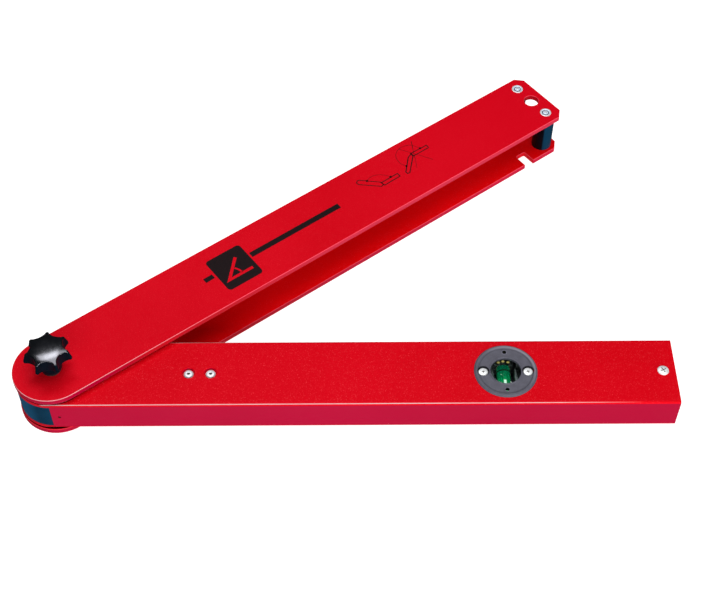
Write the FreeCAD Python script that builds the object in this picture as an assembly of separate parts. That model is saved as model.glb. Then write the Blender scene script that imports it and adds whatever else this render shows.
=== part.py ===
import FreeCAD, Part
import os
import math

V = FreeCAD.Vector
os.makedirs("parts", exist_ok=True)

# ---------------------------------------------------------------------------
# Folding angle bevel with a plumb vial.  Millimetres.
# Origin: on the pivot axis, at the underside of the lower arm plate.
# +Z along the pivot, towards the star knob; +X along the inner (tube) arm.
# The outer arm is two flat plates with the tube arm running between them.
# ---------------------------------------------------------------------------

# --- driving dimensions ----------------------------------------------------
opening_deg = 36.76        # angle between the two arms as stored

plate_w = 61.2             # outer arm plates, a little wider than the tube
plate_t = 5.0
plate_len = 503.0          # pivot axis to the square end
plate_chamfer_x = 6.5
plate_chamfer_y = 6.5
plate_edge_r = 0.6
post_x = 490.5             # the two end posts and the hanging hole
post_y = 19.0
post_r = 8.75
hang_r = 6.5
notch_x = 466.0            # notch in the lower plate, for the stop pin
notch_w = 10.0
notch_depth = 12.6
notch_r = 1.6

tube_w = 60.0              # inner arm, rectangular tube 60 x 30 x 3
tube_h = 30.0
tube_t = 3.0
tube_r = 2.0
tube_len = 480.0           # pivot axis to the open end
gap = 2.0                  # room for a friction washer on each face

z_low0 = 0.0                           # lower plate
z_low1 = z_low0 + plate_t
z_in0 = z_low1 + gap                   # tube arm
z_in1 = z_in0 + tube_h
z_up0 = z_in1 + gap                    # upper plate
z_up1 = z_up0 + plate_t
z_mid = (z_in0 + z_in1) / 2.0

bolt_r = 4.0               # M8 pivot bolt
bolt_run = 0.05            # radial running clearance on the bolt
head_r = 8.5
bush_r = 6.0
washer_r = 22.0            # friction washers
washer_t = 1.9

rivet_x = (104.0, 121.0)   # blind rivets that hold the hinge block
rivet_r = 2.4
rivet_head_r = 3.85
rivet_head_h = 1.1
rivet_sink_r = 4.7
rivet_sink = 1.9

vial_x = 348.7             # vial housing
bezel_r = 24.5
bezel_h = 1.2
housing_r = 21.6
window_r = 11.9
bezel_screw_x = 17.3
bezel_hole_y = 17.6

end_screw_x = 470.2
end_block_x0 = 452.0
end_block_x1 = 478.4
pin_r = 3.0
pin_y = -21.5

knob_r = 18.9              # over the lobe tips
knob_valley_r = 12.5
knob_tip_r = 0.9
knob_lobes = 7
knob_lobe_z0 = 14.0        # underside at the valleys, above the upper plate
knob_tip_z0 = 16.0         # underside at the lobe tips
knob_rim_r = 16.9          # the tips lean in to this rim
knob_rim_z = 23.6
knob_shoulder_r = 1.0      # bevel between the tip wall and the crown
knob_crown = 26.7
knob_hub_r = 8.2
knob_phase_deg = 58.94     # first lobe, from the outer arm's direction


# --- helpers ---------------------------------------------------------------
def cyl(r, z0, z1, x=0.0, y=0.0):
    return Part.makeCylinder(r, z1 - z0, V(x, y, z0), V(0, 0, 1))


def cyl_y(r, y0, y1, x, z):
    return Part.makeCylinder(r, y1 - y0, V(x, y0, z), V(0, 1, 0))


def cone(r0, r1, z0, z1, x=0.0, y=0.0):
    return Part.makeCone(r0, r1, z1 - z0, V(x, y, z0), V(0, 0, 1))


def box(x0, x1, y0, y1, z0, z1):
    return Part.makeBox(x1 - x0, y1 - y0, z1 - z0, V(x0, y0, z0))


def revolve(pts, x=0.0, y=0.0):
    """Closed (r, z) outline turned about a vertical axis at x, y."""
    vs = [V(p[0], 0, p[1]) for p in pts]
    vs.append(vs[0])
    face = Part.Face(Part.makePolygon(vs))
    s = face.revolve(V(0, 0, 0), V(0, 0, 1), 360)
    s.translate(V(x, y, 0))
    return s


def fuse(shapes):
    s = shapes[0]
    for o in shapes[1:]:
        s = s.fuse(o)
    return s.removeSplitter()


def outline_face(pts, z):
    """Face from a list of ('L', p) and ('A', mid, end) steps; first is ('S', p)."""
    edges = []
    cur = V(pts[0][1][0], pts[0][1][1], z)
    start = cur
    for st in pts[1:]:
        if st[0] == 'L':
            nx = V(st[1][0], st[1][1], z)
            edges.append(Part.LineSegment(cur, nx).toShape())
        else:
            md = V(st[1][0], st[1][1], z)
            nx = V(st[2][0], st[2][1], z)
            edges.append(Part.Arc(cur, md, nx).toShape())
        cur = nx
    if cur.distanceToPoint(start) > 1e-6:
        edges.append(Part.LineSegment(cur, start).toShape())
    return Part.Face(Part.Wire(edges))


def rim_edges(shape, z, tol=1e-4):
    """Edges that lie wholly in the plane at height z."""
    out = []
    for e in shape.Edges:
        b = e.BoundBox
        if abs(b.ZMin - z) < tol and abs(b.ZMax - z) < tol:
            out.append(e)
    return out


def in_outer(shape):
    """Turn a shape drawn along +X into the outer arm's direction."""
    s = shape.copy()
    s.rotate(V(0, 0, 0), V(0, 0, 1), opening_deg)
    return s


def export(shape, node):
    solids = shape.Solids
    s = solids[0] if len(solids) == 1 else Part.makeCompound(solids)
    for q in solids:
        if not q.isValid():
            print("INVALID", node)
    print("%-22s solids %d  volume %.1f" % (node, len(solids), sum(q.Volume for q in solids)))
    s.exportStep("parts/%s.step" % node)


# ---------------------------------------------------------------------------
# Outer arm plates: round at the pivot, bevelled corners at the far end
# ---------------------------------------------------------------------------
hw = plate_w / 2.0
cx0 = plate_len - plate_chamfer_x
cy0 = hw - plate_chamfer_y
nx0 = notch_x - notch_w / 2.0
nx1 = notch_x + notch_w / 2.0
ny = -hw + notch_depth
q = notch_r * (1.0 - math.sqrt(0.5))


def plate(z0, with_notch):
    pts = [('S', (0, -hw))]
    if with_notch:
        pts += [('L', (nx0, -hw)), ('L', (nx0, ny - notch_r)),
                ('A', (nx0 + q, ny - q), (nx0 + notch_r, ny)),
                ('L', (nx1 - notch_r, ny)),
                ('A', (nx1 - q, ny - q), (nx1, ny - notch_r)),
                ('L', (nx1, -hw))]
    pts += [('L', (cx0, -hw)), ('L', (plate_len, -cy0)), ('L', (plate_len, cy0)),
            ('L', (cx0, hw)), ('L', (0, hw)), ('A', (-hw, 0), (0, -hw))]
    s = outline_face(pts, z0).extrude(V(0, 0, plate_t))
    s = s.makeFillet(plate_edge_r, rim_edges(s, z0) + rim_edges(s, z0 + plate_t))
    s = s.cut(cyl(hang_r, z0 - 1, z0 + plate_t + 1, post_x, 0))
    for sy in (-1, 1):
        s = s.cut(cyl(rivet_r, z0 - 1, z0 + plate_t + 1, post_x, sy * post_y))
    rims = []
    for e in s.Edges:
        c = e.Curve
        if hasattr(c, "Radius") and abs(c.Radius - hang_r) < 1e-6 and e.Length > 2 * math.pi * hang_r - 0.01:
            rims.append(e)
    return s.makeFillet(0.4, rims)


upper = plate(z_up0, False).cut(cyl(bolt_r + 0.1, z_up0 - 1, z_up1 + 1))
export(in_outer(upper), "outer_top_plate")

lower = plate(z_low0, True)
neck = 8.0
lower = lower.cut(revolve([(0, -1), (head_r + 0.03, -1), (head_r + 0.03, 0.17), (5.75, 2.82), (0, 2.82)]))
lower = lower.cut(box(-neck / 2, neck / 2, -neck / 2, neck / 2, z_low0, z_low1 + 1))
for sy in (-1, 1):
    lower = lower.cut(revolve([(0, -1), (4.73, -1), (4.73, 0.12), (rivet_r + 0.02, 2.43), (0, 2.43)],
                              post_x, sy * post_y))
export(in_outer(lower), "outer_bottom_plate")


# ---------------------------------------------------------------------------
# End posts and their rivets
# ---------------------------------------------------------------------------
def post(sy):
    z0, z1, c = z_low1, z_up0, 0.4
    s = revolve([(0, z0), (post_r - c, z0), (post_r, z0 + c), (post_r, z1 - c), (post_r - c, z1), (0, z1)],
                post_x, sy * post_y)
    s = s.cut(cyl(rivet_r, z0 - 1, z0 + 9.0, post_x, sy * post_y))
    s = s.cut(cyl(rivet_r, z1 - 9.0, z1 + 1, post_x, sy * post_y))
    return s


export(in_outer(post(-1)), "end_post_near")
export(in_outer(post(1)), "end_post_far")


def dome_rivet(x, y, zface, up, head_r_, head_h, grip, sink=0.0, hole=1.15):
    """Blind rivet: low domed head with the hollow mandrel hole, body below."""
    z = zface - sink
    pts = [(hole, z + head_h), (hole + 0.45, z + head_h)]
    n = 7
    for i in range(1, n + 1):
        a = math.pi / 2 * i / n
        pts.append((hole + 0.45 + (head_r_ - hole - 0.45) * math.sin(a), z + head_h * (0.28 + 0.72 * math.cos(a))))
    pts += [(head_r_, z), (rivet_r, z), (rivet_r, z - grip), (0, z - grip), (0, z - 1.5), (hole, z - 1.5)]
    s = revolve(pts, x, y)
    if not up:
        s = s.mirror(V(0, 0, zface), V(0, 0, 1))
    return s


rv = [dome_rivet(post_x, sy * post_y, z_up1, True, 5.0, 1.35, 13.0, 0.0, 1.7) for sy in (-1, 1)]
export(in_outer(Part.makeCompound(rv)), "post_rivets_top")

rv = []
for sy in (-1, 1):
    rv.append(revolve([(0, 0), (4.7, 0), (4.7, 0.1), (rivet_r, 2.4), (rivet_r, 13.0), (0, 13.0)],
                      post_x, sy * post_y))
export(in_outer(Part.makeCompound(rv)), "post_rivets_bottom")

# ---------------------------------------------------------------------------
# Pivot: flush countersunk square-neck bolt, two friction washers
# ---------------------------------------------------------------------------
bolt_top = z_up1 + 14.0
head = revolve([(0, 0), (head_r, 0), (head_r, 0.15), (5.72, 2.8), (0, 2.8)])
sq = box(-neck / 2, neck / 2, -neck / 2, neck / 2, 2.8, z_low1)
shank = cyl(bolt_r, z_low1, bolt_top - 0.8).fuse(cone(bolt_r, bolt_r - 0.8, bolt_top - 0.8, bolt_top))
bolt = fuse([head, sq, shank])
export(in_outer(bolt), "pivot_bolt")

lw = cyl(washer_r, z_low1, z_low1 + washer_t).cut(cyl(bolt_r + 0.25, 0, 60))
export(lw, "lower_friction_washer")
uw = cyl(washer_r, z_up0 - washer_t, z_up0).cut(cyl(bolt_r + 0.25, 0, 60))
export(uw, "upper_friction_washer")

# ---------------------------------------------------------------------------
# Inner arm: rectangular tube, side walls cut away in front of the pivot and
# the two faces left as half-round cheeks
# ---------------------------------------------------------------------------
iw = tube_w / 2.0


def rr_prism(x0, x1, y0, y1, z0, z1, r):
    b = box(x0, x1, y0, y1, z0, z1)
    es = []
    for e in b.Edges:
        bb = e.BoundBox
        if bb.XLength > (x1 - x0) - 1e-4:
            es.append(e)
    return b.makeFillet(r, es)


tube = rr_prism(-iw, tube_len, -iw, iw, z_in0, z_in1, tube_r)
tube = tube.cut(rr_prism(-iw - 1, tube_len + 1, -iw + tube_t, iw - tube_t, z_in0 + tube_t, z_in1 - tube_t, 0.8))
keep = cyl(iw, z_in0 - 1, z_in1 + 1).fuse(box(0, tube_len + 1, -iw, iw, z_in0 - 1, z_in1 + 1)).removeSplitter()
tube = tube.common(keep)
tube = tube.cut(box(-iw - 1, 0, -iw - 1, iw + 1, z_in0 + tube_t, z_in1 - tube_t))
# pivot bush hole, rivet seats
tube = tube.cut(cyl(bush_r, z_in0 - 1, z_in1 + 1))
for x in rivet_x:
    tube = tube.cut(cyl(rivet_r, z_in0 - 1, z_in1 + 1, x, 0))
    tube = tube.cut(cyl(rivet_sink_r, z_in1 - rivet_sink, z_in1 + 1, x, 0))
    tube = tube.cut(cone(rivet_sink_r, rivet_sink_r + 0.5, z_in1 - 0.5, z_in1 + 0.001, x, 0))
    tube = tube.cut(cyl(rivet_sink_r, z_in0 - 1, z_in0 + rivet_sink, x, 0))
    tube = tube.cut(cone(rivet_sink_r + 0.5, rivet_sink_r, z_in0 - 0.001, z_in0 + 0.5, x, 0))
# vial housing opening through both faces
tube = tube.cut(cyl(housing_r + 0.2, z_in0 - 1, z_in1 + 1, vial_x, 0))
# end screw, stop pin and the small cross hole beside the pivot
tube = tube.cut(cyl(2.5, z_mid, z_in1 + 1, end_screw_x, 0))
tube = tube.cut(cyl(pin_r, z_in0 - 1, z_mid, notch_x, pin_y))
tube = tube.cut(cyl_y(1.0, -iw - 1, -iw + tube_t + 1, 6.0, z_in0 + 14.5))
export(tube, "inner_arm_tube")

# hinge block: fills the tube's pivot end, round end flush with the cheeks
plug_rr = iw - 0.3
pz0, pz1 = z_in0 + tube_t, z_in1 - tube_t
blk = cyl(plug_rr, pz0, pz1).common(box(-iw, 0.0, -iw, iw, pz0, pz1))
blk = fuse([blk, box(0.0, 132.0, -iw + tube_t, iw - tube_t, pz0, pz1)])
es = []
for e in blk.Edges:
    bb = e.BoundBox
    if bb.XLength > 131.0:
        es.append(e)
blk = blk.makeFillet(0.9, es)
blk = blk.cut(cyl(bush_r, pz0 - 1, pz1 + 1))
for x in rivet_x:
    blk = blk.cut(cyl(rivet_r, pz0 - 1, pz0 + 8.0, x, 0))
    blk = blk.cut(cyl(rivet_r, pz1 - 8.0, pz1 + 1, x, 0))
for x0, x1 in ((42.0, 86.0),):
    for sy in (-1, 1):
        blk = blk.cut(box(x0, x1, min(sy * 4.0, sy * 22.0), max(sy * 4.0, sy * 22.0), pz0 + 3.0, pz1 + 1))
blk = blk.cut(cyl_y(1.0, -iw, -iw + tube_t + 6.0, 6.0, z_in0 + 14.5))
export(blk, "hinge_block")

bush = cyl(bush_r, z_in0, z_in1).cut(cyl(bolt_r + bolt_run, z_in0 - 1, z_in1 + 1))
export(bush, "pivot_bush")

rv = [dome_rivet(x, 0, z_in1, True, rivet_head_r, rivet_head_h, 9.0, rivet_sink) for x in rivet_x]
export(Part.makeCompound(rv), "block_rivets_top")
rv = [dome_rivet(x, 0, z_in0, False, rivet_head_r, rivet_head_h, 9.0, rivet_sink) for x in rivet_x]
export(Part.makeCompound(rv), "block_rivets_bottom")

# ---------------------------------------------------------------------------
# Far end of the inner arm: plug, screw and stop pin
# ---------------------------------------------------------------------------
plug = rr_prism(end_block_x0, end_block_x1, -iw + tube_t, iw - tube_t, pz0, pz1, 0.9)
plug = plug.cut(rr_prism(end_block_x0 - 1, end_block_x1 - 4.0, 6.0, iw - tube_t - 3.0, pz0 + 3.0, pz1 - 3.0, 0.8))
plug = plug.cut(cyl(2.5, z_mid - 1.0, pz1 + 1, end_screw_x, 0))
plug = plug.cut(cyl(pin_r, pz0 - 1, z_mid - 2.0, notch_x, pin_y))
export(plug, "end_plug")

sc_head_r, sc_head_h = 4.75, 1.5
pts = [(0, z_in1 + sc_head_h)]
for i in range(1, 8):
    a = math.pi / 2 * i / 7
    pts.append((sc_head_r * math.sin(a) if i < 7 else sc_head_r, z_in1 + 0.35 + (sc_head_h - 0.35) * math.cos(a)))
pts += [(sc_head_r, z_in1), (2.5, z_in1), (2.5, z_mid), (1.9, z_mid - 1.0), (0, z_mid - 1.0)]
screw = revolve(pts, end_screw_x, 0)
for ang in (35.0, 125.0):
    b = box(-2.6, 2.6, -0.42, 0.42, z_in1 + 0.35, z_in1 + 3)
    b.rotate(V(0, 0, 0), V(0, 0, 1), ang)
    b.translate(V(end_screw_x, 0, 0))
    screw = screw.cut(b)
export(screw, "end_screw")

pin = revolve([(0, 1.4), (pin_r - 0.6, 1.4), (pin_r, 2.0), (pin_r, z_mid - 2.0), (0, z_mid - 2.0)], notch_x, pin_y)
export(pin, "stop_pin")

# ---------------------------------------------------------------------------
# Vial housing: two screwed shells that meet at mid height, vial across the arm
# ---------------------------------------------------------------------------
shell_w = 2.2                      # wall of the housing sleeve
web_t = 2.6                        # face of the shell round the window


def shell():
    """Upper shell drawn about its own axis, z = 0 on the tube's face."""
    h = -(tube_h / 2.0)
    r0 = housing_r
    pts = [
        (window_r, -0.9), (window_r, bezel_h - 0.25), (window_r + 0.25, bezel_h - 0.05), (window_r + 0.85, bezel_h - 0.05),
        (window_r + 1.15, bezel_h - 0.45), (20.9, bezel_h - 0.45), (21.7, bezel_h), (23.3, bezel_h),
        (bezel_r, 0.35), (bezel_r, 0.0), (r0, 0.0), (r0, h), (r0 - shell_w, h), (r0 - shell_w, -web_t),
        (window_r + 0.9, -web_t),
    ]
    s = revolve(pts)
    # screw bosses and seats
    for sx in (-1, 1):
        boss = cyl(3.6, h, -web_t + 0.2, sx * bezel_screw_x, 0).common(cyl(r0 - 0.5, h, 1))
        s = s.fuse(boss)
    for sx in (-1, 1):
        s = s.cut(cyl(4.6, -1.6, 3, sx * bezel_screw_x, 0).common(cyl(bezel_r - 1.6, -3, 4)))
        s = s.cut(cyl(1.6, h - 1, 3, sx * bezel_screw_x, 0))
    for sy in (-1, 1):
        s = s.cut(cyl(1.65, -web_t - 0.5, 3, 0, sy * bezel_hole_y))
    return s


up_shell = shell().removeSplitter()
up_shell.translate(V(vial_x, 0, z_in1))
lo_shell = shell().mirror(V(0, 0, 0), V(0, 0, 1)).removeSplitter()
lo_shell.translate(V(vial_x, 0, z_in0))
vial_r = 5.75
vial_half = 17.2
cav = cyl_y(vial_r + 0.05, -vial_half, vial_half, vial_x, z_mid)
export(up_shell.cut(cav), "vial_bezel_top")
export(lo_shell.cut(cav), "vial_bezel_bottom")


def bezel_screw(sx):
    z = z_in1 - 1.6
    pts = [(0, z + 1.35), (1.4, z + 1.35), (2.7, z + 1.15), (3.45, z + 0.75), (3.65, z + 0.3), (3.65, z),
           (1.55, z), (1.55, z - 11.5), (0, z - 11.5)]
    s = revolve(pts, vial_x + sx * bezel_screw_x, 0)
    for ang in (20.0, 110.0):
        b = box(-1.9, 1.9, -0.38, 0.38, z + 0.5, z + 4)
        b.rotate(V(0, 0, 0), V(0, 0, 1), ang)
        b.translate(V(vial_x + sx * bezel_screw_x, 0, 0))
        s = s.cut(b)
    return s


bs = [bezel_screw(sx) for sx in (-1, 1)]
export(Part.makeCompound(bs), "bezel_screws_top")
bs = [bezel_screw(sx).mirror(V(0, 0, z_mid), V(0, 0, 1)) for sx in (-1, 1)]
export(Part.makeCompound(bs), "bezel_screws_bottom")

# carrier: two cradles joined by side rails, round the ends of the vial
cr = housing_r - shell_w - 0.1
car = cyl(cr, z_mid - 6.4, z_mid + 6.4, vial_x, 0)
car = car.cut(box(vial_x - 8.2, vial_x + 8.2, -12.6, 12.6, z_mid - 9, z_mid + 9))
for sx in (-1, 1):
    car = car.cut(cyl(4.1, z_mid - 9, z_mid + 9, vial_x + sx * bezel_screw_x, 0))
    x0 = vial_x + sx * 12.6
    car = car.cut(box(min(x0, x0 + sx * 12), max(x0, x0 + sx * 12), -20, 20, z_mid - 9, z_mid + 9))
car = car.cut(cyl_y(vial_r + 0.03, -30, 30, vial_x, z_mid)).removeSplitter()
export(car, "vial_carrier")

tube_in = vial_r - 1.1
vt = cyl_y(vial_r, -vial_half, vial_half, vial_x, z_mid).cut(cyl_y(tube_in, -vial_half - 1, vial_half + 1, vial_x, z_mid))
export(vt, "vial_tube")
plug_l = 3.6
ep = [cyl_y(tube_in, vial_half - plug_l, vial_half, vial_x, z_mid), cyl_y(tube_in, -vial_half, -vial_half + plug_l, vial_x, z_mid)]
export(Part.makeCompound(ep), "vial_end_plugs")
liq_half = vial_half - plug_l
bub = Part.makeSphere(2.3, V(0, 0, 0))
m = FreeCAD.Matrix()
m.scale(1.0, 1.9, 0.8)
bub = bub.transformGeometry(m)
bub.translate(V(vial_x, 0, z_mid + tube_in - 2.15))
liq = cyl_y(tube_in, -liq_half, liq_half, vial_x, z_mid).cut(bub)
export(liq, "vial_liquid")
export(bub, "vial_bubble")
rings = []
for sy in (-1, 1):
    y = sy * 8.0
    rings.append(cyl_y(vial_r + 0.12, y - 0.4, y + 0.4, vial_x, z_mid).cut(cyl_y(vial_r, y - 1, y + 1, vial_x, z_mid)))
export(Part.makeCompound(rings), "vial_rings")

# ---------------------------------------------------------------------------
# Clamp: steel washer, seven-lobed star knob, threaded brass insert
# ---------------------------------------------------------------------------
kw0, kw1 = z_up1 + 0.05, z_up1 + 1.65
kwash = cyl(7.6, kw0, kw1).cut(cyl(bolt_r + 0.15, 0, 100))
export(in_outer(kwash), "knob_washer")

a_t = knob_r - knob_tip_r
kk = knob_tip_r - knob_valley_r
dl = math.pi / knob_lobes
c_s = (a_t * a_t - kk * kk) / (2.0 * (kk + a_t * math.cos(dl)))
r_s = c_s - knob_valley_r


def pol(r, a):
    return (r * math.cos(a), r * math.sin(a))


def star_steps():
    steps = []
    first = True
    for k in range(knob_lobes):
        a = math.radians(knob_phase_deg) + 2.0 * dl * k
        tc = pol(a_t, a)
        s0 = pol(c_s, a - dl)
        s1 = pol(c_s, a + dl)

        def touch(sc):
            dx, dy = sc[0] - tc[0], sc[1] - tc[1]
            d = math.hypot(dx, dy)
            return (tc[0] + dx / d * knob_tip_r, tc[1] + dy / d * knob_tip_r)
        t0, t1 = touch(s0), touch(s1)
        if first:
            steps.append(('S', t0))
            first = False
        else:
            steps.append(('A', pol(knob_valley_r, a - dl), t0))
        steps.append(('A', pol(knob_r, a), t1))
    a = math.radians(knob_phase_deg)
    tc = pol(a_t, a)
    s0 = pol(c_s, a - dl)
    dx, dy = s0[0] - tc[0], s0[1] - tc[1]
    d = math.hypot(dx, dy)
    steps.append(('A', pol(knob_valley_r, a - dl), (tc[0] + dx / d * knob_tip_r, tc[1] + dy / d * knob_tip_r)))
    return steps


zk = z_up1


def turned(steps):
    """Body turned about Z from a half outline of ('S', p), ('L', p), ('A', mid, end) in (r, z)."""
    cur = V(steps[0][1][0], 0, steps[0][1][1])
    start = cur
    edges = []
    for st in steps[1:]:
        if st[0] == 'L':
            nx = V(st[1][0], 0, st[1][1])
            edges.append(Part.LineSegment(cur, nx).toShape())
        else:
            nx = V(st[2][0], 0, st[2][1])
            edges.append(Part.Arc(cur, V(st[1][0], 0, st[1][1]), nx).toShape())
        cur = nx
    edges.append(Part.LineSegment(cur, start).toShape())
    return Part.Face(Part.Wire(edges)).revolve(V(0, 0, 0), V(0, 0, 1), 360)


lean = math.atan2(knob_r - knob_rim_r, knob_rim_z - knob_tip_z0 - 0.6)
sh_c = (knob_rim_r - knob_shoulder_r * math.cos(lean), zk + knob_rim_z - knob_shoulder_r * math.sin(lean))
a1 = math.radians(75.0)
s_end = (sh_c[0] + knob_shoulder_r * math.cos(a1), sh_c[1] + knob_shoulder_r * math.sin(a1))
drop = zk + knob_crown - s_end[1]
dome_r = (s_end[0] ** 2 + drop ** 2) / (2 * drop)
half = math.asin(s_end[0] / dome_r) / 2
d_mid = (dome_r * math.sin(half), zk + knob_crown - dome_r * (1 - math.cos(half)))
blank = turned([('S', (0, zk + knob_lobe_z0 - 1.2)), ('L', (knob_hub_r, zk + knob_lobe_z0 - 1.2)),
                ('L', (knob_valley_r, zk + knob_lobe_z0)), ('L', (knob_r - 0.7, zk + knob_tip_z0 - 0.15)),
                ('A', (knob_r - 0.2, zk + knob_tip_z0 + 0.1), (knob_r, zk + knob_tip_z0 + 0.6)),
                ('L', (knob_rim_r, zk + knob_rim_z)), ('L', s_end), ('A', d_mid, (0, zk + knob_crown))])
star = outline_face(star_steps(), zk + 8.0).extrude(V(0, 0, 24)).common(blank)
hub = revolve([(0, kw1), (knob_hub_r - 0.5, kw1), (knob_hub_r, kw1 + 0.5), (knob_hub_r + 0.1, zk + knob_lobe_z0 + 0.4),
               (0, zk + knob_lobe_z0 + 0.4)])
knob = fuse([hub, star])
ins_r, ins_h = 6.0, 15.5
knob = knob.cut(cyl(ins_r, kw1 - 1, kw1 + ins_h))
export(in_outer(knob), "star_knob")
ins = cyl(ins_r, kw1, kw1 + ins_h).cut(cyl(bolt_r + bolt_run, kw1 - 1, kw1 + ins_h - 1.2))
export(in_outer(ins), "knob_insert")
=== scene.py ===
import math
import bpy
import bmesh
from mathutils import Matrix, Vector


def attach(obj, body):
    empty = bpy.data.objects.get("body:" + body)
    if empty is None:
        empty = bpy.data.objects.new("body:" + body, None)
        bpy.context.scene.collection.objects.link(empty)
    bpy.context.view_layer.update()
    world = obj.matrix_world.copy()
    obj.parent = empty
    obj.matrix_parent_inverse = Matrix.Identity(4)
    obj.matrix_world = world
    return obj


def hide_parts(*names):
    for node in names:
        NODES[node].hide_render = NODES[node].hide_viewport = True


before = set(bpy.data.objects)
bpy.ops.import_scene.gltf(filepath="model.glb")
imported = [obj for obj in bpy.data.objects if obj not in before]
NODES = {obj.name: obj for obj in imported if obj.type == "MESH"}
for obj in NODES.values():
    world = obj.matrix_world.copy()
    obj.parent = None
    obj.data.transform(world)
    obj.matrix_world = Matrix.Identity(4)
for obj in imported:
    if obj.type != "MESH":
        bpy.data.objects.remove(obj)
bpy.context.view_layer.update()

MM = 0.001
OPEN = math.radians(36.76)

scene = bpy.context.scene
scene.view_settings.view_transform = "Standard"
scene.view_settings.look = "None"
scene.view_settings.exposure = 0.0
scene.view_settings.gamma = 1.0

# --------------------------------------------------------------------------
# Camera
# --------------------------------------------------------------------------
pitch, yaw, roll = math.radians(51.401), math.radians(0.358), 0.0
fwd = Vector((math.sin(yaw) * math.cos(pitch), math.cos(yaw) * math.cos(pitch), -math.sin(pitch)))
right = Vector((math.cos(yaw), -math.sin(yaw), 0.0))
up = right.cross(fwd)
right, up = right * math.cos(roll) + up * math.sin(roll), up * math.cos(roll) - right * math.sin(roll)
cam_data = bpy.data.cameras.new("Camera")
cam_data.sensor_fit = "HORIZONTAL"
cam_data.sensor_width = 36.0
cam_data.lens = 71.05
cam_data.clip_start, cam_data.clip_end = 0.01, 60.0
cam = bpy.data.objects.new("Camera", cam_data)
scene.collection.objects.link(cam)
m = Matrix.Identity(4)
for i in range(3):
    m[i][0], m[i][1], m[i][2] = right[i], up[i], -fwd[i]
m[0][3], m[1][3], m[2][3] = 0.227345, -0.627149, 0.912918
cam.matrix_world = m
scene.camera = cam

# --------------------------------------------------------------------------
# Soft studio light
# --------------------------------------------------------------------------
def softbox(name, pos, aim, sx, sy, radiance, col=(1, 1, 1), camera=False):
    d = bpy.data.lights.new(name, "AREA")
    d.shape = "RECTANGLE"
    d.size, d.size_y = sx, sy
    d.energy = radiance * math.pi * sx * sy
    d.color = col
    o = bpy.data.objects.new(name, d)
    scene.collection.objects.link(o)
    o.location = pos
    z = (Vector(pos) - Vector(aim)).normalized()
    o.rotation_mode = "QUATERNION"
    o.rotation_quaternion = z.to_track_quat("Z", "Y")
    o.visible_camera = camera
    return o


softbox("key_over", (0.34, 0.16, 1.55), (0.30, 0.15, 0.0), 1.5, 1.10, 4.25)
softbox("knob_glow", (-0.22, 0.62, 1.55), (-0.02, 0.1, 0.0), 0.70, 0.36, 7.5)
softbox("key_front", (0.22, -1.15, 0.70), (0.22, 0.05, 0.03), 1.5, 0.55, 5.5)
softbox("slot_fill", (1.05, -0.75, 0.12), (0.28, 0.14, 0.03), 0.8, 0.30, 12.5)

world = bpy.data.worlds.new("studio")
scene.world = world
world.use_nodes = True
bg = world.node_tree.nodes["Background"]
bg.inputs["Color"].default_value = (0.9, 0.95, 1.0, 1)
bg.inputs["Strength"].default_value = 0.05


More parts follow.
